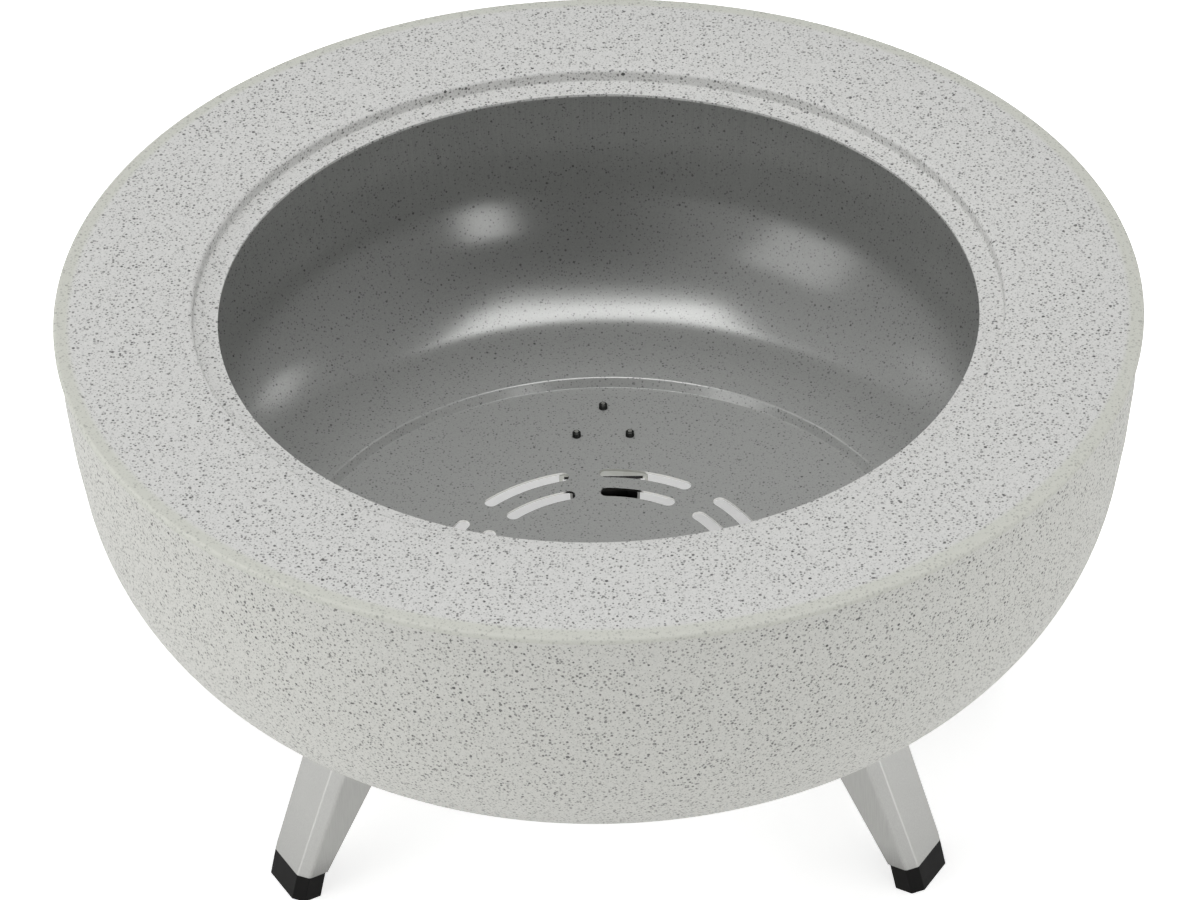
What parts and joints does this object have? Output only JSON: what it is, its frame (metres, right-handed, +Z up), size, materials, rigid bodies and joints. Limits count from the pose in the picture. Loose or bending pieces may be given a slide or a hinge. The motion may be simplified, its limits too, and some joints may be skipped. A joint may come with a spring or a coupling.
{
  "type": "fire pit",
  "caption": "Round steel fire bowl with a broad flat speckled ring, a sunk ledge round its opening and a slotted floor, on splayed folded-sheet legs with rubber foot caps.",
  "frame": {"origin": "on the ground, under the centre of the bowl", "axes": "+Z up along the bowl's axis; the rear leg stands towards +Y, the other two at 120 degrees to it"},
  "size_m": [0.6, 0.6, 0.335],
  "materials": {
    "bowl_finish": "matt stone-look paint with dark specks outside, satin grey inside",
    "ring_finish": "matt stone-look paint with dark specks",
    "leg_steel": "satin",
    "plate_steel": "satin",
    "foot_rubber": "matt",
    "black_screws": "black oxide",
    "zinc_washers": "zinc plated"
  },
  "bodies": {
    "root": {"fire_bowl": "bowl_finish", "top_ring": "ring_finish", "rear_leg": "leg_steel", "left_leg": "leg_steel", "right_leg": "leg_steel", "rear_mounting_plate": "plate_steel", "left_mounting_plate": "plate_steel", "right_mounting_plate": "plate_steel", "rear_foot_cap": "foot_rubber", "left_foot_cap": "foot_rubber", "right_foot_cap": "foot_rubber", "rear_leg_screws": "black_screws", "left_leg_screws": "black_screws", "right_leg_screws": "black_screws", "rear_leg_washers": "zinc_washers", "left_leg_washers": "zinc_washers", "right_leg_washers": "zinc_washers"}
  },
  "joints": []
}
